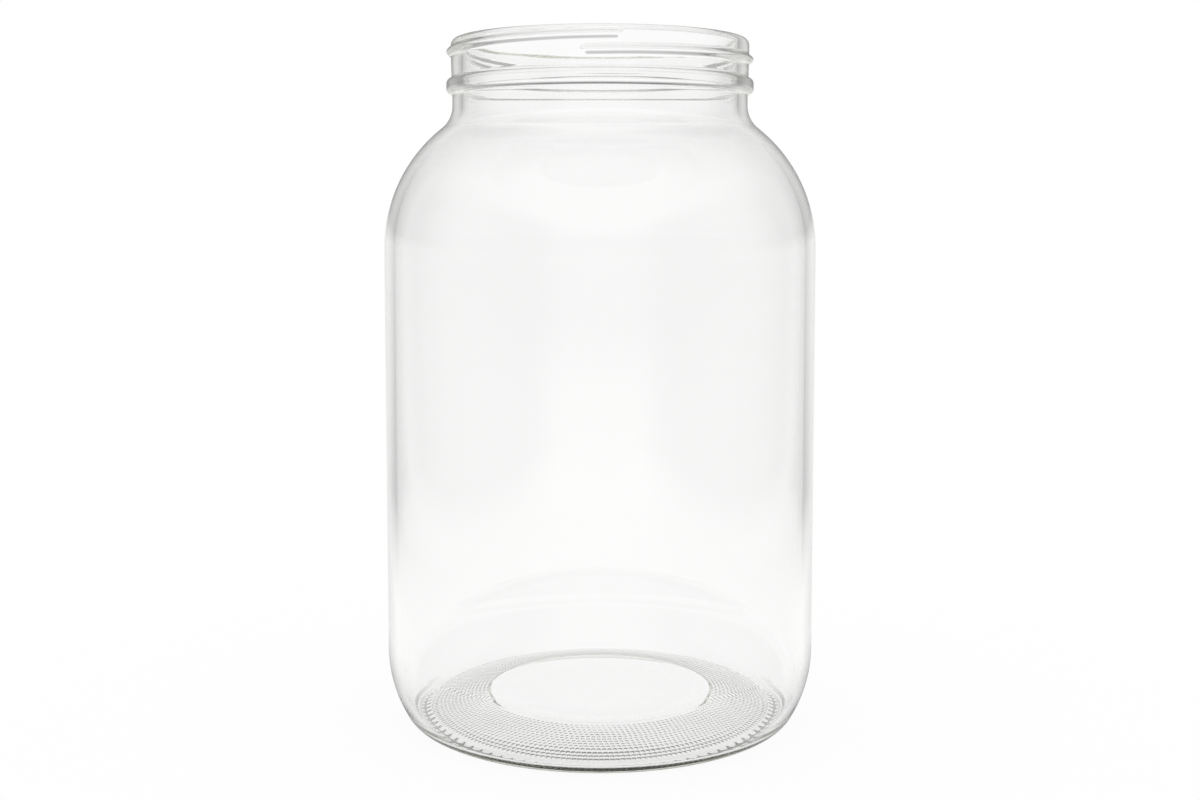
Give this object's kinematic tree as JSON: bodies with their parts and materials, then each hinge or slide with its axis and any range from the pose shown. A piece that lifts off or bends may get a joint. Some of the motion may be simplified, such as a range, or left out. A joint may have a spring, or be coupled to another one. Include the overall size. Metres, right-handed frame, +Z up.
{
  "type": "glass jar",
  "caption": "Wide-mouth clear glass jar of 3.6 litres: screw thread and bead on a short neck, round shoulder, straight body, knurled base ring, push-up.",
  "frame": {"origin": "centre of the plane that the jar stands on, on the jar's axis", "axes": "+Z up along the axis and out of the mouth; -Y is the front, where the two ends of the thread pass each other; +X is to the right seen from the front"},
  "size_m": [0.155, 0.155, 0.2454],
  "materials": {
    "clear_glass": "clear flint glass, fire-polished, with a faint green tint in its thick edges"
  },
  "bodies": {
    "root": {"glass_jar": "clear_glass"}
  },
  "joints": []
}
